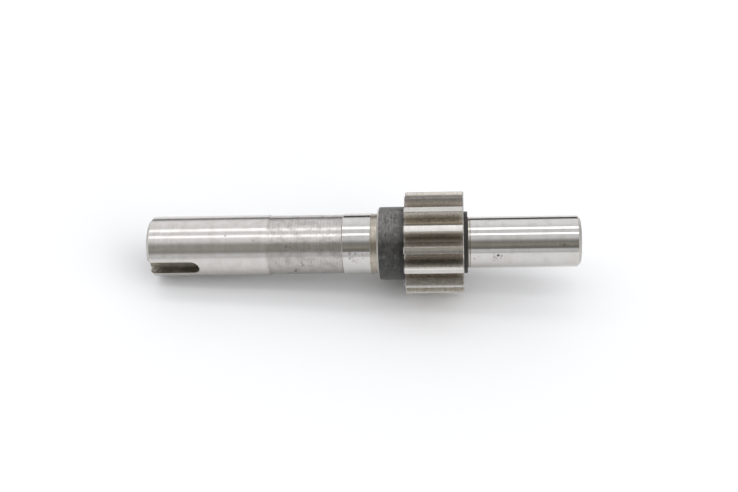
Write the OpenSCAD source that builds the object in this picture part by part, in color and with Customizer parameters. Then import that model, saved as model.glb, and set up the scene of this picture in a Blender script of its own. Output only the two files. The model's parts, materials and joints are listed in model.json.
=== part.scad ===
// Gear shaft turned from one steel bar: a spur pinion cut on a stepped shaft, with a keyed drive end,
// a ground bearing seat beside a shoulder collar, and a ground journal at the far end.
// X runs along the shaft from the keyed end to the journal, and Z is up. The shaft lies at rest
// on two teeth of the pinion and on the rim of its keyed end, with the keyway facing about -Y.

/* [Keyed drive end] */
// Length of the keyed end, from its face to the turned land
drive_l = 60; // [45:0.5:80]
// How far the keyed end stays under the bearing seat in diameter, so that the bearing passes over it
drive_under = 0.2; // [0.1:0.05:0.6]
// Chamfer of the keyed end
drive_chamfer = 1.4; // [0.8:0.1:2.5]
// Width of the keyway
key_w = 8; // [5:0.5:10]
// Depth of the keyway below the round of the shaft
key_h = 4; // [3:0.25:5]
// Length of the keyway, from the end face to the crown of its round end
key_l = 25.5; // [18:0.5:36]
// Turn of the keyway about the shaft, up from level
key_turn = 2; // [-10:1:10]

/* [Turned land] */
// Length of the turned land between the keyed end and the bearing seat
land_l = 36.7; // [25:0.1:50]
// How far the turned land stays under the bearing seat in diameter
land_under = 1; // [0.7:0.1:1.6]

/* [Bearing seat] */
// Diameter of the bearing seat
seat_d = 30; // [26:0.5:32]
// Length of the ground bearing seat
seat_l = 13.3; // [10:0.1:20]
// Length of the grinding relief between the seat and the collar
relief_l = 3.5; // [2.5:0.1:4.5]
// Depth of the grinding relief
relief_h = 0.25; // [0.15:0.05:0.35]
// Length of the shoulder collar
collar_l = 13.2; // [8:0.1:18]
// Chamfer on the bearing side of the collar
collar_chamfer = 0.7; // [0.3:0.1:1]

/* [Pinion] */
// Number of teeth
teeth = 15; // [14:1:24]
// Module of the teeth
gear_module = 3; // [2.75:0.25:4]
// Pressure angle of the teeth
pressure_angle = 20; // [18:0.5:25]
// Height of the teeth above the pitch circle, in modules
addendum = 0.8; // [0.7:0.05:1]
// Depth of the teeth below the pitch circle, in modules
dedendum = 1.1; // [1:0.05:1.3]
// Thickness that the teeth gain over half of the pitch, in modules
tooth_gain = 0.13; // [0:0.01:0.2]
// Face width of the teeth
gear_w = 28.4; // [20:0.1:40]
// Deburring bevel around the ends of the teeth
tooth_bevel = 0.45; // [0.2:0.05:0.6]
// How far the collar stays under the root circle, so that the cutter runs out clear of it
runout = 1.3; // [0.5:0.1:1.6]

/* [Plain journal] */
// Diameter of the journal
journal_d = 25; // [20:0.5:28]
// Length of the journal, from the ring to its end face
journal_l = 54.1; // [40:0.1:70]
// Chamfer of the journal's end
journal_chamfer = 1.5; // [0.8:0.1:2.5]
// Height of the ring that stops the journal's bearing
ring_h = 2.6; // [2:0.1:3.5]
// Length of that ring
ring_l = 1.8; // [1.5:0.1:4]
// Length of the grinding relief beside the ring
journal_relief_l = 1.4; // [1.2:0.1:2.4]

/* [Centre holes] */
// Rim diameter of the 60 degree centre holes in both end faces
centre_d = 6.7; // [5.3:0.1:8.5]
// Diameter of their pilot drillings
pilot_d = 3.15; // [2:0.05:4]
// Depth of the pilot drillings from the end face
pilot_l = 6; // [5.5:0.1:8]

/* [Hidden] */

// Smallest shoulder that the collar keeps over the seat
min_shoulder = 1.5;
// Overlap of a cutting shape past the surface it cuts
cut = 2;
// Break on the outer edge of the ring
ring_break = 0.3;
// Fillet in the corner of a relief
relief_fillet = 0.4;
// Cone angles of the centre holes and of the pilot drill's point
centre_angle = 60;
drill_angle = 118;

// Steps along each curve of a tooth
flank_steps = 6;
root_steps = 4;
fillet_steps = 4;
// Share of the tooth space that each root fillet takes at the root circle
root_share = 0.6;
// Least height of a root fillet, in modules
min_root_h = 0.4;

seat_r = seat_d / 2;
drive_r = (seat_d - drive_under) / 2;
land_r = (seat_d - land_under) / 2;
journal_r = journal_d / 2;
ring_r = journal_r + ring_h;

// Circles of the pinion
pitch_r = gear_module * teeth / 2;
base_r = pitch_r * cos(pressure_angle);
tip_r = pitch_r + addendum * gear_module;
root_r = pitch_r - dedendum * gear_module;
flank_r = max(base_r, root_r + min_root_h * gear_module);
collar_r = max(root_r - runout, seat_r + min_shoulder);
tooth_pitch = 360 / teeth;

// Places along the shaft, from the face of the keyed end
land_x = drive_l;
seat_x = land_x + land_l;
relief_x = seat_x + seat_l;
collar_x = relief_x + relief_l;
gear_x = collar_x + collar_l;
ring_x = gear_x + gear_w;
journal_x = ring_x + ring_l;
end_x = journal_x + journal_l;
core_x = gear_x + gear_w / 2;

// Angle from the middle of a tooth to its flank, at the pitch circle and at radius r
half_pitch = tooth_pitch / 4 + tooth_gain / teeth * 180 / PI;
function involute(a) = tan(a) * 180 / PI - a;
function half_tooth(r) = half_pitch + involute(pressure_angle) - involute(acos(base_r / r));

// Rest: the line through the rim of the keyed end and the low corners of two teeth lies on the floor
rest_r = tip_r * cos(tooth_pitch / 2 - half_tooth(tip_r));
tilt = atan((rest_r - drive_r) / (gear_x + tooth_bevel - drive_chamfer));
lift = drive_r * cos(tilt) - drive_chamfer * sin(tilt);
low_x = -(drive_r - drive_chamfer) * sin(tilt);
high_x = end_x * cos(tilt) + (journal_r - journal_chamfer) * sin(tilt);

function polar(r, a) = [r * cos(a), r * sin(a)];

// Right side of a tooth as [radius, angle from its middle], from the tooth space up to the tip
function root_angle() = half_tooth(flank_r) + root_share * (tooth_pitch / 2 - half_tooth(flank_r));
function root_side() = [
    for (i = [0:root_steps - 1])
        let (u = 90 * (1 - i / root_steps), a = half_tooth(flank_r))
        [root_r + (flank_r - root_r) * (1 - sin(u)), a + (root_angle() - a) * (1 - cos(u))]
];
function flank_side() = [
    for (i = [0:flank_steps])
        let (r = flank_r + (tip_r - flank_r) * i / flank_steps)
        [r, half_tooth(r)]
];
function tooth_side() = concat(root_side(), flank_side());

// Outline of all teeth. Straight down (+X here) is the middle of a tooth space.
function outline(side) = [
    for (i = [0:teeth - 1])
        let (middle = (i + 0.5) * tooth_pitch, n = len(side))
        each concat(
            [for (p = side) polar(p[0], middle - p[1])],
            [polar(tip_r, middle)],
            [for (k = [1:n]) polar(side[n - k][0], middle + side[n - k][1])]
        )
];

// The outline moved inwards by d
function inward(a, b) = let (v = b - a) [-v[1], v[0]] / norm(v);
function inset(points, d) = [
    for (i = [0:len(points) - 1])
        let (
            n = len(points),
            before = inward(points[(i + n - 1) % n], points[i]),
            after = inward(points[i], points[(i + 1) % n])
        )
        points[i] + d * (before + after) / (1 + before * after)
];

// Quarter round of the relief fillets, as points about a centre
function round_points(r, x, from, to) = [
    for (i = [0:fillet_steps])
        let (a = from + (to - from) * i / fillet_steps)
        [r + relief_fillet * cos(a), x + relief_fillet * sin(a)]
];

// A centre hole from the axis out to its rim, at face x and going in along dir
cone_l = (centre_d - pilot_d) / 2 / tan(centre_angle / 2);
point_l = pilot_d / 2 / tan(drill_angle / 2);
function centre_hole(x, dir) = [
    [0, x + dir * (pilot_l + point_l)],
    [pilot_d / 2, x + dir * pilot_l],
    [pilot_d / 2, x + dir * cone_l],
    [centre_d / 2, x]
];
function reversed(list) = [for (i = [len(list) - 1:-1:0]) list[i]];

// Half section of the turned body as [radius, place along the shaft]
function drive_section() = [
    [drive_r - drive_chamfer, 0],
    [drive_r, drive_chamfer],
    [drive_r, land_x - (drive_r - land_r)],
    [land_r, land_x],
    [land_r, seat_x - (seat_r - land_r)],
    [seat_r, seat_x]
];
function collar_section() = concat(
    [[seat_r, relief_x], [seat_r - relief_h, relief_x + 2 * relief_h]],
    round_points(seat_r - relief_h + relief_fillet, collar_x - relief_fillet, 180, 90),
    [
        [collar_r - collar_chamfer, collar_x],
        [collar_r, collar_x + collar_chamfer],
        [collar_r, core_x]
    ]
);
function journal_section() = concat(
    [[ring_r, core_x], [ring_r, journal_x - ring_break], [ring_r - ring_break, journal_x]],
    round_points(journal_r - relief_h + relief_fillet, journal_x + relief_fillet, 270, 180),
    [
        [journal_r - relief_h, journal_x + journal_relief_l - 2 * relief_h],
        [journal_r, journal_x + journal_relief_l],
        [journal_r, end_x - journal_chamfer],
        [journal_r - journal_chamfer, end_x]
    ]
);

module turned_body() {
    rotate_extrude($fn = 96)
        polygon(concat(
            centre_hole(0, 1),
            drive_section(),
            collar_section(),
            journal_section(),
            reversed(centre_hole(end_x, -1))
        ));
}

// Slot of an end mill that enters from the end face
module keyway() {
    rotate([0, 0, -key_turn])
        rotate([0, -90, -90])
            translate([0, 0, -drive_r - cut])
                linear_extrude(key_h + cut) {
                    translate([-cut, -key_w / 2])
                        square([key_l - key_w / 2 + cut, key_w]);
                    translate([key_l - key_w / 2, 0])
                        circle(d = key_w, $fn = 64);
                }
}

// Bevelled end of the toothed rim: the full outline below and the inset outline on top
module rim_end(points) {
    n = len(points);
    low = [for (p = points) [p[0], p[1], 0]];
    top = [for (p = inset(points, tooth_bevel)) [p[0], p[1], tooth_bevel]];
    faces = [
        for (i = [0:n - 1])
            let (j = (i + 1) % n)
            each [[i, n + i, n + j], [i, n + j, j], [2 * n, i, j], [2 * n + 1, n + j, n + i]]
    ];
    polyhedron(concat(low, top, [[0, 0, 0], [0, 0, tooth_bevel]]), faces);
}

module pinion() {
    points = outline(tooth_side());
    translate([0, 0, gear_x + tooth_bevel]) {
        linear_extrude(gear_w - 2 * tooth_bevel)
            polygon(points);
        mirror([0, 0, 1])
            rim_end(points);
        translate([0, 0, gear_w - 2 * tooth_bevel])
            rim_end(points);
    }
}

module gear_shaft() {
    color([0.7, 0.69, 0.67])
        translate([-(low_x + high_x) / 2, 0, lift])
            rotate([0, 90 - tilt, 0])
                union() {
                    difference() {
                        turned_body();
                        keyway();
                    }
                    pinion();
                }
}

gear_shaft();
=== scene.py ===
import json
import math
import bpy
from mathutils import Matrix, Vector
from mathutils.geometry import tessellate_polygon


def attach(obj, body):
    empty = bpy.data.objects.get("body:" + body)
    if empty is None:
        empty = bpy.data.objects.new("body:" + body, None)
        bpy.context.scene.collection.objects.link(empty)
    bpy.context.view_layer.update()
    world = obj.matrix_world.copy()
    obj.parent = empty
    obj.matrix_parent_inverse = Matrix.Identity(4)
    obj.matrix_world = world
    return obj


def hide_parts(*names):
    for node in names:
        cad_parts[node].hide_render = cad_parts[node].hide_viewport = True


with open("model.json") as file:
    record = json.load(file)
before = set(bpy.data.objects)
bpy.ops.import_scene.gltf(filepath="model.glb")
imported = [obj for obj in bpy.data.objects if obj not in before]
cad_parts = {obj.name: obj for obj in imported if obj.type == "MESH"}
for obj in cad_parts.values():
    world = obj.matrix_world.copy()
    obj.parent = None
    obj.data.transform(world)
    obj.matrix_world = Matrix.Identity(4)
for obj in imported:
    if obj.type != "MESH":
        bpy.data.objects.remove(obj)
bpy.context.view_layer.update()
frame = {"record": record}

mm = 0.001
tiny = 1e-9

# shaft frame: along the axis, level toward the viewer, and up across the axis
mounts = {m["name"]: m for m in frame["record"]["mounts"]}
along = Vector(mounts["journal"]["axis"]).normalized()
toward = Vector((0, -1, 0))
upward = toward.cross(along).normalized()
if upward.z < 0:
    upward.negate()

shaft = {
    "driveR": mounts["drive_end"]["dims"]["r_mm"],
    "seatR": mounts["bearing_seat"]["dims"]["r_mm"],
    "journalR": mounts["journal"]["dims"]["r_mm"],
    "landR": 14.5, "collarR": 17.9, "ringR": 15.1,
    "landX": 60.0, "seatX": 96.7, "reliefX": 110.0, "collarX": 113.5, "gearX": 126.7,
    "ringX": 155.1, "journalX": 156.9, "endX": 211.0,
    "driveChamfer": 1.4, "journalChamfer": 1.5, "collarChamfer": 0.7,
    "seatStep": 0.5, "reliefH": 0.25, "reliefRun": 0.5,
    "journalRelief": 1.4, "neckH": 0.1, "neckRun": 0.4,
    "centreR": 3.35, "coneL": 3.07, "pilotR": 1.575, "pilotL": 6.0, "pilotTip": 6.95,
    "landUnder": 0.3, "inPinion": 1,  # how far stretches run on inside their neighbours
    "columns": 288,
}
driveMiddle = (shaft["driveChamfer"] + shaft["landX"] - (shaft["driveR"] - shaft["landR"])) / 2
origin = Vector(mounts["drive_end"]["pos_m"]) - along * driveMiddle * mm
zones = ["keyed", "ground", "turned", "relief", "black", "ring", "flank", "loaded", "dull", "land",
         "edge", "slot", "face", "neck"]


# one growing mesh: points in the shaft frame in mm, faces with a normal per corner
points, polygons, cornerNormals, polygonZones = [], [], [], []


def addPoint(s, p, q):
    points.append((s, p, q))
    return len(points) - 1


def addFace(ids, normals, zone):
    a, b, c = (Vector(points[i]) for i in (ids[0], ids[1], ids[2]))
    turn = (b - a).cross(c - b)
    if len(ids) == 4 and turn.length < tiny:
        turn = (c - b).cross(Vector(points[ids[3]]) - c)
    mean = sum((Vector(n) for n in normals), Vector())
    # the shaft frame is left-handed, so a face whose turn agrees with its normal is reversed
    if turn.dot(mean) > 0:
        ids, normals = ids[::-1], normals[::-1]
    polygons.append(ids)
    cornerNormals.extend(normals)
    polygonZones.append(zones.index(zone))


def bridge(lowIds, highIds, lowNormals, highNormals, zone, closed=True):
    count = len(lowIds)
    for i in range(count if closed else count - 1):
        j = (i + 1) % count
        zoneHere = zone[i] if isinstance(zone, list) else zone
        addFace([lowIds[i], lowIds[j], highIds[j], highIds[i]],
                [lowNormals[i], lowNormals[j], highNormals[j], highNormals[i]], zoneHere)


def fill(loops, normal, zone, flat):
    # flat turns a point id into the two coordinates of the face's plane
    ids = [i for loop in loops for i in loop]
    for tri in tessellate_polygon([[Vector((*flat(i), 0)) for i in loop] for loop in loops]):
        addFace([ids[k] for k in tri], [normal] * 3, zone)


def circle(s, r, angles):
    return [addPoint(s, r * math.cos(a), r * math.sin(a)) for a in angles]


def spun(normal, angles):
    return [(normal[0], normal[1] * math.cos(a), normal[1] * math.sin(a)) for a in angles]


def roundedSegments(profile):
    # profile rows are (place, radius, zone of the stretch after it, corner radius),
    # and a fifth entry gives the corner a zone of its own
    most, steps = 0.45, 4  # share of a stretch that a corner may take, and its steps
    out, start = [], profile[0][:2]
    for k in range(1, len(profile)):
        here, zone = profile[k][:2], profile[k - 1][2]
        before = Vector(here) - Vector(profile[k - 1][:2])
        last = k == len(profile) - 1
        corner = 0 if last else profile[k][3]
        n0 = Vector((-before.y, before.x)).normalized()
        if corner:
            after = Vector(profile[k + 1][:2]) - Vector(here)
            n1 = Vector((-after.y, after.x)).normalized()
            half = n0.angle(n1) / 2
            cut = min(corner * math.tan(half), before.length * most, after.length * most)
            a = Vector(here) - before.normalized() * cut
            b = Vector(here) + after.normalized() * cut
            cornerZone = profile[k][4] if len(profile[k]) > 4 else zone
            out.append((start, tuple(a), n0, n0, zone))
            previous = a
            for i in range(1, steps + 1):
                t = i / steps
                now = a * (1 - t) ** 2 + Vector(here) * 2 * t * (1 - t) + b * t * t
                na, nb = n0.slerp(n1, (i - 1) / steps), n0.slerp(n1, t)
                out.append((tuple(previous), tuple(now), na, nb, cornerZone))
                previous = now
            start = tuple(b)
        else:
            out.append((start, here, n0, n0, zone))
            start = here
    return out


def revolve(profile):
    angles = [2 * math.pi * i / shaft["columns"] for i in range(shaft["columns"])]
    cache = {}
    for low, high, n0, n1, zone in roundedSegments(profile):
        rows = []
        for s, r in (low, high):
            key = (round(s, 5), round(r, 5))
            if key not in cache:
                cache[key] = circle(s, r, angles) if r > tiny else [addPoint(s, 0, 0)] * len(angles)
            rows.append(cache[key])
        for i in range(len(angles)):
            j = (i + 1) % len(angles)
            na = spun(n0, (angles[i], angles[j]))
            nb = spun(n1, (angles[i], angles[j]))
            ids = [rows[0][i], rows[0][j], rows[1][j], rows[1][i]]
            normals = [na[0], na[1], nb[1], nb[0]]
            if ids[0] == ids[1]:
                ids, normals = ids[1:], normals[1:]
            elif ids[2] == ids[3]:
                ids, normals = ids[:3], normals[:3]
            addFace(ids, normals, zone)


# keyed end: the round is laid out on a grid that leaves the slot open
keyed = {
    "halfW": 4.0, "floor": shaft["driveR"] - 4.0, "length": 25.5, "turn": math.radians(2),
    "lip": 0.14, "lipIn": 0.35, "lipSag": 0.12, "lipDrop": 0.7,  # the last three are shares of the lip
    "cornerHalf": 0.1, "cornerDrop": 0.03, "rowsX": (6.0, 12.0), "evenX": 29.0, "rows": 8,
    "outer": 240, "inner": 28, "holePoints": 48,
    "stepBack": 0.05, "stepTilt": math.radians(8), "footDrop": 0.02,
}


def buildKeyedEnd():
    r, chamfer, lip = shaft["driveR"], shaft["driveChamfer"], keyed["lip"]
    reach, middleX = keyed["halfW"] + lip, keyed["length"] - keyed["halfW"]
    faceR = r - chamfer

    def radiusAt(s):
        return faceR + s if s < chamfer else r

    def outerAngles(s):
        edge = math.asin(reach / radiusAt(s))
        step = (2 * math.pi - 2 * edge) / keyed["outer"]
        return [keyed["turn"] + edge + step * i for i in range(keyed["outer"] + 1)]

    # stretches beside the slot, from the end face to where the round end begins
    k = math.sqrt(0.5)
    corner = keyed["cornerHalf"]
    rowsBeside = [0.0, chamfer - corner, chamfer + corner, *keyed["rowsX"], middleX]
    cone, plain = (-k, k), (0.0, 1.0)
    previous = None
    borderLow, borderHigh = [], []
    for i, s in enumerate(rowsBeside):
        angles = outerAngles(s)
        ids = circle(s, radiusAt(s) - (keyed["cornerDrop"] if i in (1, 2) else 0), angles)
        if previous:
            na = cone if i <= 2 else plain
            nb = cone if i == 1 else plain
            zone = "face" if i == 1 else "keyed"
            bridge(previous[0], ids, spun(na, previous[1]), spun(nb, angles), zone, False)
        else:
            rim = ids
        borderLow.append(ids[0])
        borderHigh.append(ids[-1])
        previous = (ids, angles)

    # the round past the slot: rows spread from the slot's outline to a plain circle
    beta = [math.pi * i / keyed["inner"] - math.pi / 2 for i in range(keyed["inner"] + 1)]
    innerAngles = [keyed["turn"] + math.asin(reach * math.sin(b) / r) for b in beta]
    outlineX = [middleX + reach * math.cos(b) for b in beta]
    angles = outerAngles(middleX) + innerAngles[1:-1]
    startX = [middleX] * (keyed["outer"] + 1) + outlineX[1:-1]
    normals = spun(plain, angles)
    innerPlaces = zip(innerAngles[1:-1], outlineX[1:-1])
    inner = [addPoint(x, r * math.cos(a), r * math.sin(a)) for a, x in innerPlaces]
    ids = previous[0] + inner
    for row in range(1, keyed["rows"] + 1):
        t = row / keyed["rows"]
        rowX = [x + (keyed["evenX"] - x) * t for x in startX]
        nextIds = [addPoint(x, r * math.cos(a), r * math.sin(a)) for a, x in zip(angles, rowX)]
        bridge(ids, nextIds, normals, normals, "keyed")
        ids = nextIds
    lastX = shaft["landX"] - (r - shaft["landR"]) - keyed["stepBack"]
    nextIds = circle(lastX, r, angles)
    bridge(ids, nextIds, normals, normals, "keyed")
    # small step down to the turned land
    foot = circle(shaft["landX"], shaft["landR"] - keyed["footDrop"], angles)
    soft = (math.sin(keyed["stepTilt"]), math.cos(keyed["stepTilt"]))
    bridge(nextIds, foot, spun(soft, angles), spun(soft, angles), "turned")

    # lip, walls and floor of the slot, along its outline from one side of the end face to the other
    path = borderLow + inner[::-1] + borderHigh[::-1]
    c, sn = math.cos(keyed["turn"]), math.sin(keyed["turn"])

    def across(i):
        s, p, q = points[i]
        return s, -p * sn + q * c, p * c + q * sn

    def back(s, w, n):
        return addPoint(s, n * c - w * sn, n * sn + w * c)

    def direction(w, n, s=0.0):
        return (s, n * c - w * sn, n * sn + w * c)

    inward, rows = [], [path, [], [], []]
    for i in path:
        s, w, n = across(i)
        if s <= middleX + tiny:
            inward.append((0.0, -math.copysign(1, w)))
        else:
            away = Vector((s - middleX, w)).normalized()
            inward.append((-away.x, -away.y))
    tops = []
    for i, (ds, dw) in zip(path, inward):
        s, w, n = across(i)
        radial = Vector((0, w, n)).normalized()
        wall = Vector((ds, dw, 0))
        tops.append((radial, (radial + wall).normalized(), wall))
        share = keyed["lipIn"]
        rows[1].append(back(s + ds * lip * share, w + dw * lip * share, n - lip * keyed["lipSag"]))
        rows[2].append(back(s + ds * lip, w + dw * lip, n - lip * keyed["lipDrop"]))
        rows[3].append(back(s + ds * lip, w + dw * lip, keyed["floor"]))
    n0 = [direction(t[0].y, t[0].z) for t in tops]
    n1 = [direction(t[1].y, t[1].z, t[1].x) for t in tops]
    n2 = [direction(t[2].y, t[2].z, t[2].x) for t in tops]
    bridge(rows[0], rows[1], n0, n1, "edge", False)
    bridge(rows[1], rows[2], n1, n2, "edge", False)
    bridge(rows[2], rows[3], n2, n2, "slot", False)
    fill([rows[3]], direction(0, 1), "slot", lambda i: across(i)[:2])

    # end face with the slot's notch and the centre hole
    ends = [[row[0] for row in rows], [row[-1] for row in rows]]
    notch = ends[1][1:] + ends[0][:0:-1]
    holeAngles = [2 * math.pi * i / keyed["holePoints"] for i in range(keyed["holePoints"])]
    hole = circle(0, shaft["centreR"], holeAngles)
    fill([rim + notch, hole], (-1, 0, 0), "face", lambda i: points[i][1:])


def buildTurned():
    g = shaft
    seatR, relief, journalR = g["seatR"], g["reliefH"], g["journalR"]
    revolve([
        (g["pilotTip"], 0, "face", 0),
        (g["pilotL"], g["pilotR"], "face", 0),
        (g["coneL"], g["pilotR"], "face", 0),
        (0, g["centreR"], "face", 0)])
    revolve([
        (g["landX"] - g["landUnder"], g["landR"], "turned", 0),
        (g["seatX"] - g["seatStep"], g["landR"], "turned", 0),
        (g["seatX"], seatR, "ground", 0.2, "edge"),
        (g["reliefX"], seatR, "relief", 0.12, "edge"),
        (g["reliefX"] + g["reliefRun"], seatR - relief, "relief", 0.3),
        (g["collarX"], seatR - relief, "relief", 0.4),
        (g["collarX"], g["collarR"] - g["collarChamfer"], "edge", 0.1),
        (g["collarX"] + g["collarChamfer"], g["collarR"], "black", 0.1, "edge"),
        (g["gearX"] + g["inPinion"], g["collarR"], "black", 0)])
    revolve([
        (g["ringX"] - g["inPinion"], g["ringR"], "ring", 0),
        (g["journalX"], g["ringR"], "ring", 0.25),
        (g["journalX"], journalR - g["neckH"], "neck", 0.35),
        (g["journalX"] + g["journalRelief"] - g["neckRun"], journalR - g["neckH"], "neck", 0.3),
        (g["journalX"] + g["journalRelief"], journalR, "ground", 0.3, "relief"),
        (g["endX"] - g["journalChamfer"], journalR, "face", 0.15),
        (g["endX"], journalR - g["journalChamfer"], "face", 0.12, "edge"),
        (g["endX"], g["centreR"], "face", 0),
        (g["endX"] - g["coneL"], g["pilotR"], "face", 0),
        (g["endX"] - g["pilotL"], g["pilotR"], "face", 0),
        (g["endX"] - g["pilotTip"], 0, "face", 0)])


# pinion: involute flanks, rounded roots and lightly worn tips, with bevelled tooth ends
teeth = {
    "count": 15, "pitchR": 22.5, "tipR": 24.9, "rootR": 19.2, "pressure": math.radians(20), "gain": 0.13,
    "bevel": 0.45, "crisp": 0.05, "lowEdge": (0.12, 0.12), "highEdge": (0.35, 0.13),
    "worn": 3, "wornEdge": (0.3, 0.85), "dull": 8, "dullEdges": (3, 5),  # teeth counted from the lowest one
    "rootShare": 0.6, "flankSteps": 10, "rootSteps": 9, "tipSteps": 3, "coreInset": 0.6,
}


def toothOutline():
    g = teeth
    pitch = 2 * math.pi / g["count"]
    baseR = g["pitchR"] * math.cos(g["pressure"])

    def involute(a):
        return math.tan(a) - a

    def halfTooth(r):
        atBase = pitch / 4 + g["gain"] / g["count"] + involute(g["pressure"])
        return atBase - involute(math.acos(min(1, baseR / r)))

    rootAngle = halfTooth(baseR) + g["rootShare"] * (pitch / 2 - halfTooth(baseR))

    def toothSide(drop, run):
        # from the middle of the tooth space up to the land:
        # radius, angle from the tooth's middle, part of the tooth
        side = [(g["rootR"], pitch / 2, "flank")]
        a = halfTooth(baseR)
        for i in range(g["rootSteps"]):
            u = math.pi / 2 * (1 - i / g["rootSteps"])
            r = g["rootR"] + (baseR - g["rootR"]) * (1 - math.sin(u))
            side.append((r, a + (rootAngle - a) * (1 - math.cos(u)), "flank"))
        topR = g["tipR"] - drop
        for i in range(g["flankSteps"]):
            r = baseR + (topR - baseR) * i / g["flankSteps"]
            side.append((r, halfTooth(r), "flank"))
        start = (topR, halfTooth(topR))
        end = (g["tipR"], halfTooth(g["tipR"]) - run / g["tipR"])
        for i in range(g["tipSteps"] + 1):
            share = i / g["tipSteps"]
            r, angle = (v + (w - v) * share for v, w in zip(start, end))
            side.append((r, angle, "tip"))
        # one more point keeps the shading of the land level up to its edge
        return side + [(g["tipR"], end[1] - g["crisp"] / g["tipR"], "land")]

    low = toothSide(*g["lowEdge"])
    crispHigh = toothSide(*g["highEdge"])
    wornHigh = toothSide(*g["wornEdge"])
    # steps along the outline from a point of a tip edge to the flank and to the land beside it
    last = g["tipSteps"] + 1
    outline = []
    for i in range(g["count"]):
        middle = -math.pi / 2 + (i + 0.5) * pitch
        dull = i == g["dull"]
        top = "dull" if dull else "land"
        high = wornHigh if i == g["worn"] else crispHigh
        brink = "dull" if i in g["dullEdges"] else "edge"
        # each row names the finish of the stretch after it
        lowZones = {"flank": top if dull else "loaded", "tip": "dull", "land": top}
        for k, (r, a, part) in enumerate(low, last + 1 - len(low)):
            beside = None if part == "flank" else (-1 - k, last - k)
            outline.append((r, middle - a, lowZones[part], beside))
        for k, (r, a, part) in enumerate(high[:0:-1]):
            finish = top if k == 0 else brink if k <= g["tipSteps"] else "flank"
            beside = None if part == "flank" else (last + 1 - k, -k)
            outline.append((r, middle + a, finish, beside))
    return outline


def buildPinion():
    outline = toothOutline()
    count = len(outline)
    flat = [Vector((r * math.cos(a), r * math.sin(a))) for r, a, _, _ in outline]
    normals = []
    for i in range(count):
        before = (flat[i] - flat[i - 1]).normalized()
        after = (flat[(i + 1) % count] - flat[i]).normalized()
        way = (before + after).normalized()
        normals.append(Vector((way.y, -way.x)))
    zoneList = [o[2] for o in outline]
    bevel = teeth["bevel"]
    inset = []
    for i, (f, n, o) in enumerate(zip(flat, normals, outline)):
        if o[3]:
            a, b = (normals[(i + step) % count] for step in o[3])
            n = (a + b) / (1 + a.dot(b))
        inset.append(f - n * bevel)
    k = math.sqrt(0.5)
    level = [(0, n.x, n.y) for n in normals]
    ends = []
    for s, way, besideR in ((shaft["gearX"], -1, shaft["collarR"]), (shaft["ringX"], 1, shaft["ringR"])):
        coreR = besideR - teeth["coreInset"]
        rim = [addPoint(s - way * bevel, f.x, f.y) for f in flat]
        lip = [addPoint(s, f.x, f.y) for f in inset]
        core = [addPoint(s, f.x * coreR / f.length, f.y * coreR / f.length) for f in inset]
        slope = [(way * k, n.x * k, n.y * k) for n in normals]
        bridge(rim, lip, slope, slope, "edge")
        bridge(lip, core, [(way, 0, 0)] * count, [(way, 0, 0)] * count, "face")
        ends.append(rim)
    bridge(ends[0], ends[1], level, level, zoneList)


buildKeyedEnd()
buildTurned()
buildPinion()
print("mesh built:", len(points), "points,", len(polygons), "faces")


def toWorld(v):
    return along * v[0] + toward * v[1] + upward * v[2]


mesh = bpy.data.meshes.new("gearShaft")
mesh.from_pydata([tuple(origin + toWorld(p) * mm) for p in points], [], polygons)
mesh.polygons.foreach_set("use_smooth", [True] * len(polygons))
mesh.polygons.foreach_set("material_index", polygonZones)
shaftPos = mesh.attributes.new("shaftPos", "FLOAT_VECTOR", "POINT")
shaftPos.data.foreach_set("vector", [c for p in points for c in p])
# an edge is sharp where the normals of its two faces differ
sharpLimit = 0.01
seen, sharp, start = {}, set(), 0
for ids in polygons:
    for i in range(len(ids)):
        j = (i + 1) % len(ids)
        edge = (min(ids[i], ids[j]), max(ids[i], ids[j]))
        pair = {ids[i]: Vector(cornerNormals[start + i]), ids[j]: Vector(cornerNormals[start + j])}
        other = seen.setdefault(edge, pair)
        if any((pair[v] - other[v]).length > sharpLimit for v in edge):
            sharp.add(edge)
    start += len(ids)
for edge in mesh.edges:
    edge.use_edge_sharp = (min(edge.vertices), max(edge.vertices)) in sharp
mesh.normals_split_custom_set([tuple(toWorld(n).normalized()) for n in cornerNormals])
mesh.update()
gearShaft = bpy.data.objects.new("gearShaft", mesh)
bpy.context.scene.collection.objects.link(gearShaft)
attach(gearShaft, "root")
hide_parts("gear_shaft")


# node helpers
def addNode(tree, kind, links=None, values=None, **props):
    node = tree.nodes.new(kind)
    for name, value in props.items():
        setattr(node, name, value)
    for name, value in (values or {}).items():
        node.inputs[name].default_value = value
    for name, source in (links or {}).items():
        tree.links.new(source, node.inputs[name])
    return node


def math2(tree, operation, a, b=None, clamp=False):
    node = addNode(tree, "ShaderNodeMath", operation=operation, use_clamp=clamp)
    for i, v in enumerate((a, b)):
        if v is None:
            continue
        if isinstance(v, (int, float)):
            node.inputs[i].default_value = v
        else:
            tree.links.new(v, node.inputs[i])
    return node.outputs[0]


def ranged(tree, value, low, high, toLow=0.0, toHigh=1.0, smooth=True):
    node = addNode(tree, "ShaderNodeMapRange", {"Value": value},
                   {"From Min": low, "From Max": high, "To Min": toLow, "To Max": toHigh})
    node.interpolation_type = "SMOOTHSTEP" if smooth else "LINEAR"
    return node.outputs["Result"]


def mixed(tree, factor, a, b, blend="MIX"):
    node = addNode(tree, "ShaderNodeMix", data_type="RGBA", blend_type=blend)
    for key, v in (("Factor", factor), ("A", a), ("B", b)):
        kind = "VALUE" if key == "Factor" else "RGBA"
        socket = next(i for i in node.inputs if i.name == key and i.type == kind)
        if hasattr(v, "node"):
            tree.links.new(v, socket)
        else:
            socket.default_value = v if isinstance(v, (int, float)) else (*v, 1)
    return next(o for o in node.outputs if o.type == "RGBA")


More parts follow.
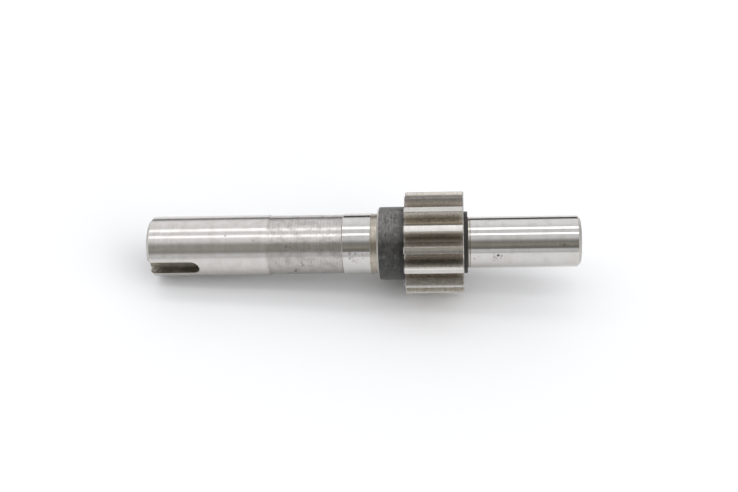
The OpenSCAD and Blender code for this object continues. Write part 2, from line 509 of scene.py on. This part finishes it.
def newGroup(name, inputs, outputs):
    tree = bpy.data.node_groups.new(name, "ShaderNodeTree")
    for socket, kind, value in inputs:
        item = tree.interface.new_socket(socket, in_out="INPUT", socket_type=kind)
        if value is not None:
            item.default_value = value
    for socket, kind in outputs:
        tree.interface.new_socket(socket, in_out="OUTPUT", socket_type=kind)
    return tree, tree.nodes.new("NodeGroupInput").outputs, tree.nodes.new("NodeGroupOutput").inputs


vec, num = "NodeSocketVector", "NodeSocketFloat"
noiseSpan = (0.3, 0.7)  # where nearly all of a noise lies
acrossOnly = {1: (0, 1, 1)}  # drops the place along the shaft


def noise(tree, place, scale, detail, rough=0.5):
    values = {"Scale": scale, "Detail": detail, "Roughness": rough}
    return addNode(tree, "ShaderNodeTexNoise", {"Vector": place}, values).outputs[0]


def vectorMath(tree, operation, links, values=None):
    return addNode(tree, "ShaderNodeVectorMath", links, values, operation=operation).outputs


# tool lines round the shaft: noise drawn out around it and fine along it
ringMarks, gi, go = newGroup(
    "ringMarks", [("Place", vec, None), ("Fineness", num, 6.0), ("Reach", num, 0.03)], [("Lines", num)])
parts = addNode(ringMarks, "ShaderNodeSeparateXYZ", {"Vector": gi["Place"]}).outputs
spread = addNode(ringMarks, "ShaderNodeCombineXYZ", {
    "X": math2(ringMarks, "MULTIPLY", parts["X"], gi["Fineness"]),
    "Y": math2(ringMarks, "MULTIPLY", parts["Y"], gi["Reach"]),
    "Z": math2(ringMarks, "MULTIPLY", parts["Z"], gi["Reach"])}).outputs[0]
ringMarks.links.new(noise(ringMarks, spread, 1.0, 3.0, 0.65), go["Lines"])

# cloudy handling film
film, gi, go = newGroup(
    "film", [("Place", vec, None), ("Size", num, 8.0), ("Amount", num, 0.5)], [("Mask", num)])
perSize = math2(film, "DIVIDE", 1.0, gi["Size"])
cloudPlace = vectorMath(film, "SCALE", {0: gi["Place"], "Scale": perSize})[0]
cloud = ranged(film, noise(film, cloudPlace, 1.0, 4.0, 0.6), 0.4, 0.72)
film.links.new(math2(film, "MULTIPLY", cloud, gi["Amount"]), go["Mask"])

# regular feed ridges of a cutting tool along the shaft, fading in and out
feedMarks, gi, go = newGroup("feedMarks", [("Place", vec, None), ("Pitch", num, 0.9)], [("Ridges", num)])
feedX = addNode(feedMarks, "ShaderNodeSeparateXYZ", {"Vector": gi["Place"]}).outputs["X"]
turns = math2(feedMarks, "DIVIDE", feedX, gi["Pitch"])
wave = math2(feedMarks, "SINE", math2(feedMarks, "MULTIPLY", turns, 2 * math.pi))
fade = ranged(feedMarks, noise(feedMarks, gi["Place"], 0.22, 2.0), 0.35, 0.7, 0.15, 1.0)
feedMarks.links.new(math2(feedMarks, "MULTIPLY", wave, fade), go["Ridges"])

# fine pits scattered over a surface
pits, gi, go = newGroup(
    "pits", [("Place", vec, None), ("Size", num, 0.5), ("Share", num, 0.3)], [("Mask", num)])
perSize = math2(pits, "DIVIDE", 1.0, gi["Size"])
pitPlace = vectorMath(pits, "SCALE", {0: gi["Place"], "Scale": perSize})[0]
pitLow = math2(pits, "SUBTRACT", 0.75, math2(pits, "MULTIPLY", gi["Share"], 0.4))
pitEdge = addNode(pits, "ShaderNodeMapRange", {
    "Value": noise(pits, pitPlace, 1.0, 1.5),
    "From Min": pitLow,
    "From Max": math2(pits, "ADD", pitLow, 0.08)})
pits.links.new(pitEdge.outputs["Result"], go["Mask"])

# one small stain or pit with a ragged edge
spotMark, gi, go = newGroup(
    "spotMark", [("Place", vec, None), ("Centre", vec, None), ("Size", num, 0.4), ("Depth", num, 1.0)],
    [("Mask", num)])
ragged = ranged(spotMark, noise(spotMark, gi["Place"], 2.2, 2.0), *noiseSpan, 0.6, 1.4, False)
gap = vectorMath(spotMark, "DISTANCE", {0: gi["Place"], 1: gi["Centre"]})["Value"]
wide = math2(spotMark, "MULTIPLY", gi["Size"], ragged)
near = math2(spotMark, "SUBTRACT", 1.0, math2(spotMark, "DIVIDE", gap, wide), True)
spotMark.links.new(math2(spotMark, "MULTIPLY", ranged(spotMark, near, 0.0, 0.6), gi["Depth"]), go["Mask"])

# a long band along the shaft, about one line of its cross-section: painted highlight where its level is
# above one, painted shade below
lightShadeBand, gi, go = newGroup(
    "lightShadeBand", [("Place", vec, None), ("Centre", vec, None), ("Size", num, 1.0)], [("Mask", num)])
flatPlace = vectorMath(lightShadeBand, "MULTIPLY", {0: gi["Place"]}, acrossOnly)[0]
wander = ranged(lightShadeBand, noise(lightShadeBand, gi["Place"], 0.5, 2.0), *noiseSpan, 0.8, 1.2, False)
gap = vectorMath(lightShadeBand, "DISTANCE", {0: flatPlace, 1: gi["Centre"]})["Value"]
wide = math2(lightShadeBand, "MULTIPLY", gi["Size"], wander)
near = math2(lightShadeBand, "SUBTRACT", 1.0, math2(lightShadeBand, "DIVIDE", gap, wide), True)
lightShadeBand.links.new(ranged(lightShadeBand, near, 0.0, 0.6), go["Mask"])

# root tone and contact wear by radius: dark tarnish in the roots of most flanks, a painted light in the
# roots of the dull tooth, and wear that grows toward the tips
toothWearAndRoots, gi, go = newGroup(
    "toothWearAndRoots", [("Place", vec, None), ("Root", num, 19.3), ("Root End", num, 20.8),
                  ("Wear From", num, 23.0), ("Wear To", num, 24.6)],
    [("Worn", num), ("Past Roots", num)])
flatPlace = vectorMath(toothWearAndRoots, "MULTIPLY", {0: gi["Place"]}, acrossOnly)[0]
radius = vectorMath(toothWearAndRoots, "LENGTH", {0: flatPlace})["Value"]
blotch = ranged(toothWearAndRoots, noise(toothWearAndRoots, gi["Place"], 0.6, 3.0, 0.6), *noiseSpan, -0.45, 0.45, False)
uneven = math2(toothWearAndRoots, "ADD", radius, blotch)
for low, high, out in (("Wear From", "Wear To", "Worn"), ("Root", "Root End", "Past Roots")):
    band = addNode(toothWearAndRoots, "ShaderNodeMapRange", {
        "Value": uneven, "From Min": gi[low], "From Max": gi[high]}, interpolation_type="SMOOTHSTEP")
    toothWearAndRoots.links.new(band.outputs["Result"], go[out])


def newMaterial(name):
    material = bpy.data.materials.new(name)
    material.use_nodes = True
    tree = material.node_tree
    shader = tree.nodes["Principled BSDF"]
    place = addNode(tree, "ShaderNodeAttribute", attribute_name="shaftPos").outputs["Vector"]
    return material, tree, shader, place


def useGroup(tree, group, links, values=None):
    node = tree.nodes.new("ShaderNodeGroup")
    node.node_tree = group
    for name, source in links.items():
        tree.links.new(source, node.inputs[name])
    for name, value in (values or {}).items():
        node.inputs[name].default_value = value
    return node.outputs if len(node.outputs) > 1 else node.outputs[0]


def spotPlace(s, degrees, r):
    return (s, r * math.cos(math.radians(degrees)), r * math.sin(math.radians(degrees)))


def grey(tree, value):
    return addNode(tree, "ShaderNodeCombineColor", {"Red": value, "Green": value, "Blue": value}).outputs[0]


def metal(look):
    material, tree, shader, place = newMaterial(look["name"])
    here = {"Place": place}
    lines = useGroup(tree, ringMarks, here, {"Fineness": look["fineness"], "Reach": look["reach"]})
    haze = useGroup(tree, film, here, {"Size": look["filmSize"], "Amount": look["film"]})
    colour = mixed(tree, haze, look["colour"], look["filmColour"])
    tone = ranged(tree, lines, *noiseSpan, 1 - look["lineTone"], 1 + look["lineTone"], False)
    smoothest, roughest = look["rough"] - look["lineRough"], look["rough"] + look["lineRough"]
    rough = math2(tree, "ADD", math2(tree, "MULTIPLY", haze, look["filmRough"]),
                  ranged(tree, lines, *noiseSpan, smoothest, roughest, False))
    height = math2(tree, "MULTIPLY", lines, look["lineHeight"])
    if "feedPitch" in look:
        ridges = useGroup(tree, feedMarks, here, {"Pitch": look["feedPitch"]})
        tone = math2(tree, "ADD", tone, math2(tree, "MULTIPLY", ridges, look["feedTone"]))
        height = math2(tree, "ADD", height, math2(tree, "MULTIPLY", ridges, look["feedHeight"]))
    if "polish" in look:
        wearAndRoots = useGroup(tree, toothWearAndRoots, here, {
            "Root": look["rootBand"][0], "Root End": look["rootBand"][1],
            "Wear From": look["polish"][0], "Wear To": look["polish"][1]})
        # root tone: tarnish on most flanks, painted light in the roots of the dull tooth
        colour = mixed(tree, wearAndRoots["Past Roots"], look["rootTarnishAndLight"], colour)
        colour = mixed(tree, wearAndRoots["Worn"], colour, look["polishColour"])
        rough = math2(tree, "SUBTRACT", rough, math2(tree, "MULTIPLY", wearAndRoots["Worn"], look["polishRough"]))
    # painted shading: the colour grows lighter or darker along one axis, standing in for light and shade
    for axis, start, end, level in look.get("dims", []):
        value = addNode(tree, "ShaderNodeSeparateXYZ", {"Vector": place}).outputs[axis]
        tone = math2(tree, "MULTIPLY", tone, ranged(tree, value, start, end, 1.0, level))
    # painted bands of highlight and shade along the shaft
    for p, q, size, level in look.get("paintedBands", []):
        paintedBand = useGroup(tree, lightShadeBand, here, {"Centre": (0, p, q), "Size": size})
        tone = math2(tree, "MULTIPLY", tone, ranged(tree, paintedBand, 0.0, 1.0, 1.0, level, False))
    colour = mixed(tree, 1.0, colour, grey(tree, tone), "MULTIPLY")
    if "pitSize" in look:
        pitted = useGroup(tree, pits, here, {"Size": look["pitSize"], "Share": look["pitShare"]})
        colour = mixed(tree, math2(tree, "MULTIPLY", pitted, look["pitDepth"]), colour, look["spotColour"])
    mask = None
    for s, degrees, r, size, depth in look.get("spots", []):
        centre = spotPlace(s, degrees, r)
        one = useGroup(tree, spotMark, here, {"Centre": centre, "Size": size, "Depth": depth})
        mask = one if mask is None else math2(tree, "MAXIMUM", mask, one)
    if mask is not None:
        colour = mixed(tree, mask, colour, look["spotColour"])
        rough = math2(tree, "ADD", rough, math2(tree, "MULTIPLY", mask, look["spotRough"]))
    tree.links.new(colour, shader.inputs["Base Color"])
    tree.links.new(math2(tree, "MAXIMUM", rough, look["leastRough"]), shader.inputs["Roughness"])
    shader.inputs["Metallic"].default_value = look["metallic"]
    shader.inputs["Specular IOR Level"].default_value = look["specular"]
    bump = addNode(tree, "ShaderNodeBump", {"Height": height}, {"Strength": 1.0, "Distance": mm})
    tree.links.new(bump.outputs["Normal"], shader.inputs["Normal"])
    return material


# spots: place along the shaft, degrees round it, radius, size and depth
# dims: axis, start, end and level, a painted shading that lightens or darkens the colour along one axis;
# bands: place toward the viewer and up, size and level, a painted highlight where the level is above one
# and painted shade below
steel = {
    "fineness": 5.0, "reach": 0.03, "filmSize": 9.0, "film": 0.5, "lineTone": 0.02, "lineRough": 0.02,
    "lineHeight": 0.0006, "filmRough": 0.04, "metallic": 1.0, "spotColour": (0.1, 0.09, 0.08),
    "specular": 0.5, "spotRough": 0.3, "leastRough": 0.05,
}
flank = {
    **steel, "rough": 0.5, "fineness": 2.2, "reach": 0.1, "lineTone": 0.1, "lineRough": 0.05,
    "filmSize": 1.8, "film": 0.9, "metallic": 0.9, "rootBand": (19.3, 20.8), "feedPitch": 0.95,
    "feedTone": 0.07, "feedHeight": 0.005, "pitSize": 0.7, "pitShare": 0.52, "pitDepth": 0.32,
}
looks = {
    "keyed": {
        **steel, "name": "keyedSteel", "colour": (0.565, 0.548, 0.529),
        "filmColour": (0.49, 0.468, 0.443), "film": 0.7, "filmSize": 5.0, "rough": 0.19, "metallic": 0.86,
        # painted shade toward the bottom, and a painted highlight band on the upper front
        "fineness": 1.6, "lineTone": 0.045, "dims": [("Z", 5.0, -11.0, 0.66)],
        "paintedBands": [(7.2, 13.0, 2.6, 1.1)],
        "spots": [
            (39.55, 68.5, 14.9, 0.5, 0.8), (53.2, 59.1, 14.9, 0.45, 0.5), (55.4, 63, 14.9, 0.4, 0.25)],
    },
    "ground": {
        **steel, "name": "groundSteel", "colour": (0.565, 0.552, 0.535),
        "filmColour": (0.49, 0.474, 0.453), "film": 0.7, "filmSize": 5.0, "fineness": 2.0,
        # painted shade toward the bottom
        "lineTone": 0.03, "rough": 0.1, "dims": [("Z", -5.0, -12.0, 0.8)],
        "spots": [
            (100.25, 31.6, 15, 1.0, 0.35), (103, 31.1, 15, 0.9, 0.35), (106.5, 30.5, 15, 0.7, 0.2),
            (108.7, 31.5, 15, 0.6, 0.15), (100.3, 22.7, 15, 0.95, 0.45), (101.5, 24.3, 15, 0.5, 0.35),
            (106.75, 22.4, 15, 0.7, 0.25), (101.6, 16.4, 15, 0.8, 0.3), (102.4, 18.1, 15, 0.6, 0.3),
            (103.1, 14.5, 15, 0.7, 0.28), (104.2, 20, 15, 0.55, 0.2), (98, 11.7, 15, 0.5, 0.15),
            (100.6, 122, 15, 0.6, 0.5), (171.35, 19.2, 12.5, 0.95, 1.0), (172.8, 16.2, 12.5, 0.7, 0.5),
            (173.2, 19.1, 12.5, 0.6, 0.45), (172.6, 11.5, 12.5, 0.6, 0.35), (169.4, 23.8, 12.5, 0.6, 0.3),
            (169.4, 17.2, 12.5, 0.8, 0.4), (170.1, 13.9, 12.5, 0.8, 0.45), (169, 13.5, 12.5, 0.6, 0.35),
            (170.6, 9.9, 12.5, 0.6, 0.35), (169.1, 6.4, 12.5, 0.6, 0.4), (170, 6.3, 12.5, 0.5, 0.35),
            (171.5, 4.3, 12.5, 0.6, 0.35), (160, 10.7, 12.5, 0.8, 0.35), (162, 16.9, 12.5, 0.5, 0.2),
            (200.9, 41.7, 12.5, 1.1, 0.2), (202.6, 40.3, 12.5, 1.5, 0.45), (204.2, 39.3, 12.5, 1.1, 0.2)],
    },
    "turned": {
        **steel, "name": "turnedSteel", "colour": (0.475, 0.458, 0.438),
        "filmColour": (0.335, 0.317, 0.3), "rough": 0.21, "metallic": 0.86,
        # painted shade toward the bottom, and two painted highlight bands on the upper side
        "dims": [("Z", 8.0, -9.0, 0.66)], "paintedBands": [(7.0, 12.7, 2.6, 1.28), (2.6, 14.3, 4.0, 1.1)],
        "fineness": 0.45, "lineTone": 0.05, "lineRough": 0.03, "film": 0.8, "filmSize": 3.6,
        "filmRough": 0.08, "feedPitch": 1.57, "feedTone": 0.058, "feedHeight": 0.003,
        "spots": [
            (69.5, 46.6, 14.5, 0.75, 0.75), (68.9, 47.7, 14.5, 0.4, 0.3), (71.5, 53.9, 14.5, 0.7, 0.3),
            (76.4, 12.6, 14.5, 0.8, 0.35), (76.6, 17.5, 14.5, 0.5, 0.25), (77.1, 6.9, 14.5, 0.9, 0.5),
            (76.4, 3.8, 14.5, 0.7, 0.45), (73.3, -8.8, 14.5, 0.9, 0.6), (72.6, -14.4, 14.5, 1.2, 0.8),
            (60.6, -22.8, 14.5, 0.9, 0.6), (82.3, 76.6, 14.5, 0.6, 0.2), (95.1, 44.3, 14.5, 0.45, 0.35),
            (76, 28, 14.5, 1.6, 0.2)],
    },
    "relief": {
        **steel, "name": "reliefSteel", "colour": (0.415, 0.378, 0.327),
        "filmColour": (0.3, 0.262, 0.217), "rough": 0.28, "fineness": 3.5, "lineTone": 0.12,
        "lineRough": 0.05, "film": 0.8, "filmSize": 2.5,
    },
    "neck": {
        **steel, "name": "neckSteel", "colour": (0.52, 0.49, 0.45), "filmColour": (0.42, 0.375, 0.32),
        "rough": 0.17, "fineness": 3.5, "lineTone": 0.12, "film": 0.7, "filmSize": 2.5,
    },
    "black": {
        **steel, "name": "blackSteel", "colour": (0.172, 0.168, 0.164),
        "filmColour": (0.09, 0.0875, 0.085), "rough": 0.38, "fineness": 1.8, "reach": 0.3,
        "lineTone": 0.48, "lineRough": 0.1, "filmSize": 2.2, "film": 0.9, "metallic": 0.0,
        "specular": 0.22, "lineHeight": 0.006,
        # painted shade next to the pinion and over all but the top of the collar
        "dims": [("X", 122.5, 126.2, 0.55), ("Z", 17.7, 13.0, 0.36)],
        "spots": [(117, 28.5, 18, 1.6, 0.35)], "spotColour": (0.16, 0.155, 0.155),
    },
    "ring": {
        **steel, "name": "darkRing", "colour": (0.03, 0.028, 0.027), "filmColour": (0.045, 0.041, 0.037),
        "rough": 0.45, "metallic": 0.0, "specular": 0.28,
    },
    "flank": {
        **flank, "name": "toothFlank", "colour": (0.286, 0.264, 0.232),
        "filmColour": (0.198, 0.179, 0.153), "rootTarnishAndLight": (0.148, 0.131, 0.109), "polish": (24.0, 24.8),
        "polishColour": (0.36, 0.335, 0.3), "polishRough": 0.1, "spots": [(154.4, -1.8, 24.5, 0.5, 0.4)],
        # painted light and shade by height round the pinion, and painted bands of light and shade along
        # single teeth
        "dims": [
            ("Z", 18.9, 18.2, 1.5), ("Z", 14.5, 13.0, 0.667), ("Z", 2.5, -1.0, 0.8),
            ("Z", -4.0, -8.0, 2.1)],
        "paintedBands": [
            (11.4, 15.4, 1.2, 0.74), (13.0, 15.5, 1.4, 1.45), (15.9, 17.3, 1.6, 0.84),
            (16.95, 9.0, 1.3, 1.45), (20.0, 9.25, 1.5, 0.66), (20.4, 0.55, 0.9, 1.7)],
    },
    "loaded": {
        **flank, "name": "loadedFlank", "colour": (0.54, 0.484, 0.408),
        "filmColour": (0.37, 0.327, 0.272), "rootTarnishAndLight": (0.29, 0.25, 0.193),
        "spots": [(153.4, 85.4, 24.1, 0.5, 0.4)],
        # painted light and shade by height round the pinion, and painted bands of light and shade along
        # single teeth
        "dims": [("Z", 17.3, 16.3, 0.6), ("Z", 15.6, 15.0, 1.667), ("Z", 9.0, -3.0, 1.6)],
        "paintedBands": [
            (2.8, 19.7, 1.0, 1.85), (2.4, 22.2, 2.6, 1.18), (11.4, 19.5, 1.6, 0.72),
            (11.0, 15.7, 1.0, 0.8)],
        "polish": (22.9, 24.6), "polishColour": (0.56, 0.53, 0.49), "polishRough": 0.14,
    },
    "dull": {
        **flank, "name": "dullFlank", "colour": (0.356, 0.325, 0.299), "filmColour": (0.257, 0.234, 0.21),
        # the roots are painted lighter, in place of the light that the neighbouring tooth shuts out
        "rootTarnishAndLight": (0.585, 0.525, 0.46), "rootBand": (20.2, 24.4), "feedTone": 0.02,
        "spots": [(154.0, 113.6, 24.86, 0.5, 0.5), (154.4, 106.6, 21.1, 0.5, 0.4)],
        # painted bands of light and shade along single teeth
        "paintedBands": [(-8.9, 23.2, 2.0, 0.78), (-6.4, 20.9, 1.8, 1.3), (24.72, -1.4, 1.2, 0.66)],
        "polish": (24.7, 25.4), "polishColour": (0.4, 0.375, 0.34), "polishRough": 0.05,
    },
    "land": {
        **steel, "name": "toothLand", "colour": (0.55, 0.533, 0.512), "filmColour": (0.47, 0.447, 0.423),
        "rough": 0.27, "fineness": 2.5, "reach": 0.1, "lineTone": 0.03, "film": 0.6, "filmSize": 4.0,
        "pitSize": 0.45, "pitShare": 0.25, "pitDepth": 0.05, "spots": [(153.2, 41.5, 24.86, 0.6, 0.5)],
        # painted bands of light and shade along single tooth lands
        "paintedBands": [
            (17.9, 17.3, 1.6, 1.28), (19.0, 16.0, 1.0, 0.9), (23.2, 8.95, 0.9, 1.3),
            (24.8, -2.0, 0.9, 0.75)],
    },
    "edge": {
        **steel, "name": "bareEdge", "colour": (0.47, 0.456, 0.437), "filmColour": (0.4, 0.38, 0.36),
        "rough": 0.38, "lineTone": 0.05,
    },
    "slot": {
        **steel, "name": "milledSlot", "colour": (0.315, 0.286, 0.234),
        "filmColour": (0.215, 0.192, 0.155), "rough": 0.55, "fineness": 0.12, "reach": 1.1,
        # painted shade deeper into the slot, away from its open end
        "lineTone": 0.3, "film": 0.7, "filmSize": 3.0, "metallic": 0.8, "dims": [("X", 2.0, 8.0, 0.72)],
        "spotColour": (0.6, 0.58, 0.545),
        "spots": [
            (0.7, -16, 11.6, 1.4, 0.95), (1.9, -15.5, 13.0, 1.3, 0.85), (3.2, -17.5, 11.9, 1.0, 0.65),
            (4.4, -15.5, 13.3, 0.9, 0.4)],
    },
    "face": {
        **steel, "name": "facedSteel", "colour": (0.47, 0.454, 0.432), "filmColour": (0.36, 0.34, 0.32),
        "rough": 0.35, "fineness": 0.2, "reach": 1.5, "lineTone": 0.08, "film": 0.6, "filmSize": 4.0,
    },
}
for zone in zones:
    mesh.materials.append(metal(looks[zone]))
print("materials:", [m.name for m in mesh.materials])

# pale floor, which ends behind the shaft as a table does
floorLook = {
    "size": 8.0, "behind": 0.36, "seen": (0.866, 0.872, 0.886), "bounce": (0.96, 0.96, 0.965),
    "rough": 0.6, "specular": 0.0,
}
half, back = floorLook["size"] / 2, floorLook["behind"]
floorMesh = bpy.data.meshes.new("floor")
floorCorners = [(-half, -half, 0), (half, -half, 0), (half, back, 0), (-half, back, 0)]
floorMesh.from_pydata(floorCorners, [], [(0, 1, 2, 3)])
floor = bpy.data.objects.new("floor", floorMesh)
bpy.context.scene.collection.objects.link(floor)
floorMaterial = bpy.data.materials.new("paleFloor")
floorMaterial.use_nodes = True
tree = floorMaterial.node_tree
floorShader = tree.nodes["Principled BSDF"]
floorPaths = addNode(tree, "ShaderNodeLightPath").outputs
floorColour = mixed(tree, floorPaths["Is Camera Ray"], floorLook["bounce"], floorLook["seen"])
tree.links.new(floorColour, floorShader.inputs["Base Color"])
floorShader.inputs["Roughness"].default_value = floorLook["rough"]
floorShader.inputs["Specular IOR Level"].default_value = floorLook["specular"]
floorMesh.materials.append(floorMaterial)

# room light by height round the shaft: 0 level in front, 90 overhead, 180 level behind
# stops: degrees, level and warmth
room = {
    "stops": [
        (0, 0.74, 0), (17, 0.9, 0), (20.5, 0.24, 0.4), (29, 0.25, 0.8), (34, 0.37, 1), (38, 0.39, 1),
        (43, 0.34, 0.8), (48, 0.31, 0.5), (53, 0.36, 0.4), (57, 0.5, 0.3), (61, 0.72, 0.2),
        (65, 0.93, 0.1), (74, 1.0, 0), (98, 1.0, 0), (120, 1.0, 0), (134, 1.2, 0), (148, 1.28, 0),
        (162, 1.24, 0), (168, 0.85, 0), (171.5, 0.11, 0), (180, 0.1, 0)],
    "tint": (0.995, 1.0, 1.015), "warm": (1.04, 1.0, 0.87), "rightFront": 2.87, "rightBack": 0.85,
    "leftLow": 0.1, "leftHigh": 1.05, "mirrored": (0.7, 0.7, 0.7), "strength": 0.93, "endsFrom": 0.4,
    "endsTo": 0.75, "rightTurn": (95, 125), "leftTurn": (40, 70), "meet": 0.1,
    "sky": (1.065, 1.07, 1.075),
}
world = bpy.data.worlds.new("room")
bpy.context.scene.world = world
world.use_nodes = True
tree = world.node_tree
tree.nodes.clear()
skyPlace = addNode(tree, "ShaderNodeTexCoord").outputs["Generated"]
direction = addNode(tree, "ShaderNodeSeparateXYZ", {"Vector": skyPlace}).outputs
rise = math2(tree, "MAXIMUM", direction["Z"], 0.0)
front = math2(tree, "MULTIPLY", direction["Y"], -1.0)
height = math2(tree, "DIVIDE", math2(tree, "ARCTAN2", rise, front), math.pi, True)
ramp = addNode(tree, "ShaderNodeValToRGB", {"Fac": height})
stops = ramp.color_ramp.elements
while len(stops) < len(room["stops"]):
    stops.new(1.0)
for stop, (degrees, level, warmth) in zip(stops, room["stops"]):
    stop.position = degrees / 180
    stop.color = (*(level * (a + (b - a) * warmth) for a, b in zip(room["tint"], room["warm"])), 1)
# the ends of the room fill the shadow from the right and the low front, without showing along the shaft
ends = ranged(tree, math2(tree, "ABSOLUTE", direction["X"]), room["endsFrom"], room["endsTo"])
rightSpan = [degrees / 180 for degrees in room["rightTurn"]]
leftSpan = [degrees / 180 for degrees in room["leftTurn"]]
rightEnd = grey(tree, ranged(tree, height, *rightSpan, room["rightFront"], room["rightBack"]))
leftEnd = grey(tree, ranged(tree, height, *leftSpan, room["leftLow"], room["leftHigh"]))
side = mixed(tree, ranged(tree, direction["X"], -room["meet"], room["meet"]), leftEnd, rightEnd)
paths = addNode(tree, "ShaderNodeLightPath").outputs
side = mixed(tree, paths["Is Glossy Ray"], side, room["mirrored"])
shell = mixed(tree, ends, ramp.outputs["Color"], side)
sky = mixed(tree, paths["Is Camera Ray"], shell, room["sky"])
background = addNode(tree, "ShaderNodeBackground", {"Color": sky}, {"Strength": room["strength"]})
tree.links.new(background.outputs[0], addNode(tree, "ShaderNodeOutputWorld").inputs["Surface"])

# two long softboxes, one overhead and one behind
softboxes = {
    "distance": 1.6, "length": 3.0,
    "strips": [
        {"name": "stripOver", "angle": 85.5, "wide": 5.8, "radiance": 2.0},
        {"name": "stripBehind", "angle": 112.0, "wide": 9.5, "radiance": 1.65}],
}
for strip in softboxes["strips"]:
    distance = softboxes["distance"]
    lamp = bpy.data.lights.new(strip["name"], "AREA")
    lamp.shape = "RECTANGLE"
    lamp.size = softboxes["length"]
    lamp.size_y = 2 * distance * math.tan(math.radians(strip["wide"] / 2))
    lamp.energy = math.pi * strip["radiance"] * lamp.size * lamp.size_y
    lampObject = bpy.data.objects.new(strip["name"], lamp)
    a = math.radians(strip["angle"])
    way = Vector((0, -math.cos(a), math.sin(a)))
    lampObject.location = way * distance
    lampObject.rotation_euler = way.to_track_quat("Z", "Y").to_euler()
    bpy.context.scene.collection.objects.link(lampObject)

# camera as in the photograph
shot = {
    "target": (0.003047, 0, 0.021217), "azimuth": 2.658, "elevation": 50.697, "distance": 0.52475,
    "lens": 51.733, "sensor": 36.0, "near": 0.01, "far": 50,
}
camera = bpy.data.objects.new("camera", bpy.data.cameras.new("camera"))
bpy.context.scene.collection.objects.link(camera)
camera.data.sensor_width = shot["sensor"]
camera.data.lens = shot["lens"]
a, e = math.radians(shot["azimuth"]), math.radians(shot["elevation"])
lookBack = Vector((math.sin(a) * math.cos(e), -math.cos(a) * math.cos(e), math.sin(e)))
camera.location = Vector(shot["target"]) + lookBack * shot["distance"]
camera.rotation_euler = (-lookBack).to_track_quat("-Z", "Y").to_euler()
camera.data.clip_start = shot["near"]
camera.data.clip_end = shot["far"]
bpy.context.scene.camera = camera
bpy.context.scene.view_settings.view_transform = "Standard"
print("stage, light and camera set")
